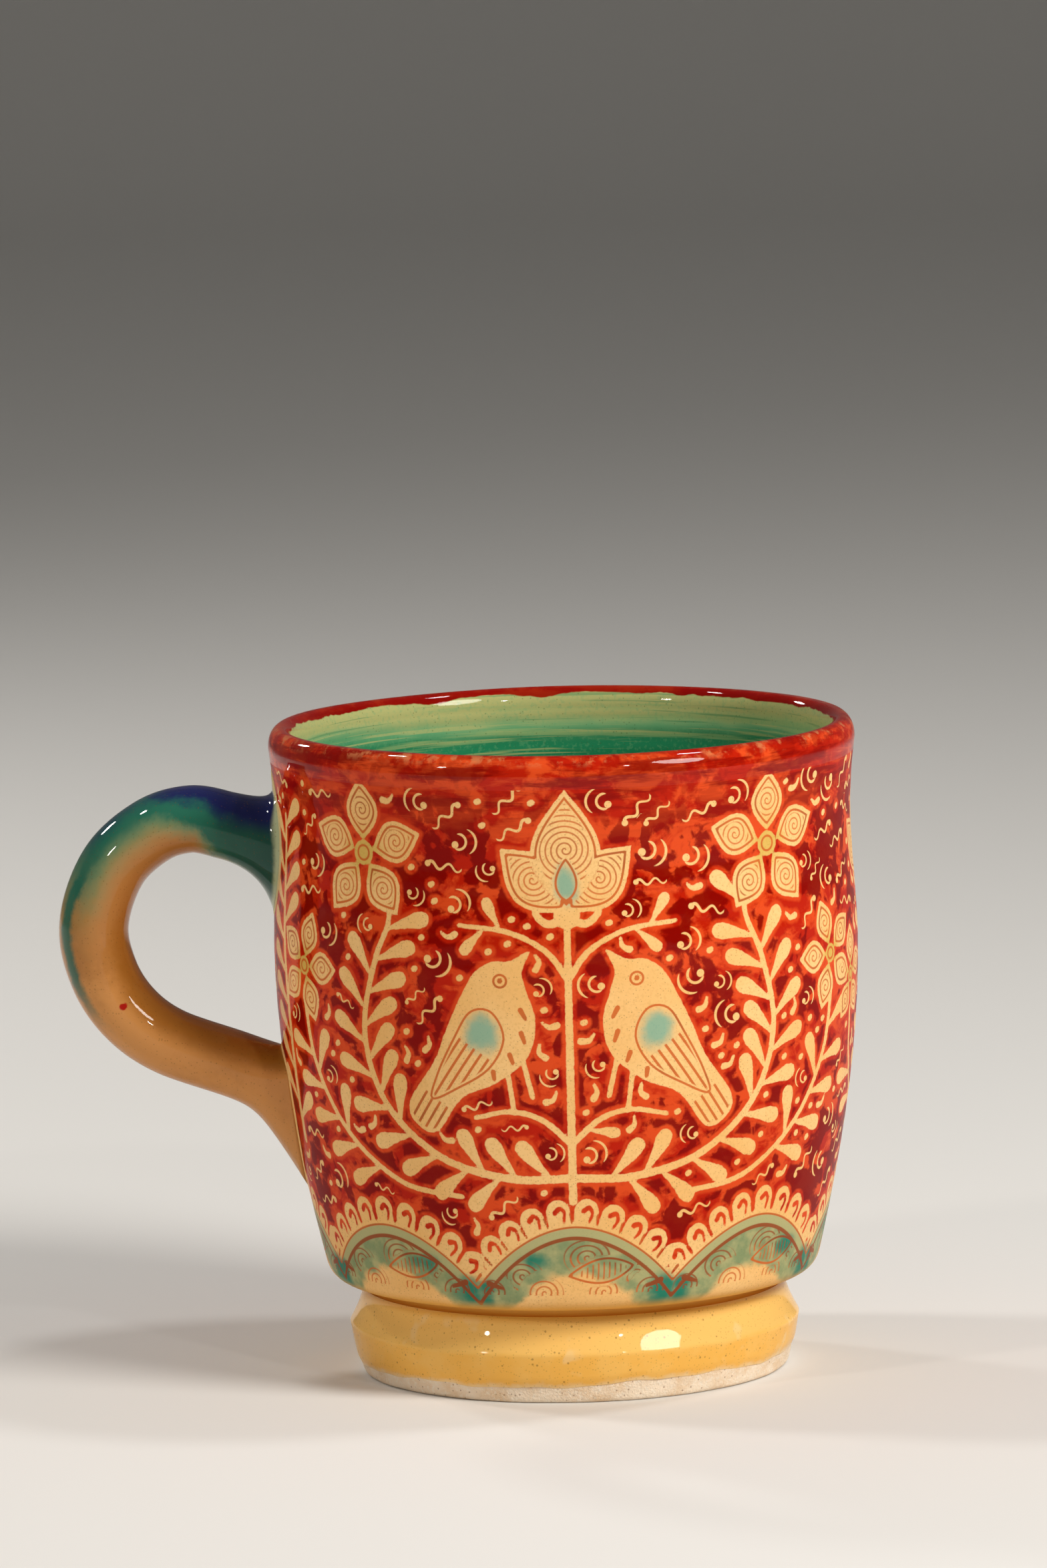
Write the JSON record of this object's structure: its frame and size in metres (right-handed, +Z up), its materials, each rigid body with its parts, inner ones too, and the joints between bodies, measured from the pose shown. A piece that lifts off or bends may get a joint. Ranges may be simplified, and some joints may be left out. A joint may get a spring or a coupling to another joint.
{
  "type": "clay mug",
  "caption": "Footed clay mug with a rounded lip, a looped strap handle whose tail runs down the wall, a painted glazed outside and a green glazed inside, for hot or cold drinks.",
  "frame": {"origin": "centre of the foot ring's resting plane, on the cup's axis", "axes": "+Z up along the cup's axis, -X towards the handle, +Y away from the picture's side"},
  "size_m": [0.1225, 0.0898, 0.1],
  "materials": {
    "clay": "bare fired clay, matt and slightly gritty",
    "slip": "fired cream slip under clear glaze",
    "painted_glaze": "glossy red slip with cream, green and turquoise painting under clear glaze",
    "red_glaze": "glossy dark red slip under clear glaze, thin over the lip",
    "green_glaze": "glossy green glaze with throwing rings",
    "amber_glaze": "glossy honey glaze, deeper in the groove",
    "washed_glaze": "glossy cream glaze with blue and green washes"
  },
  "bodies": {
    "root": {"cup_body": "clay", "foot_ring": "clay", "foot_slip_ring": "slip", "handle": "clay", "upper_slip_pad": "slip", "lower_slip_pad": "slip", "outer_coat": "painted_glaze", "rim_coat": "red_glaze", "inner_coat": "green_glaze", "foot_coat": "amber_glaze", "handle_coat": "washed_glaze"}
  },
  "joints": []
}
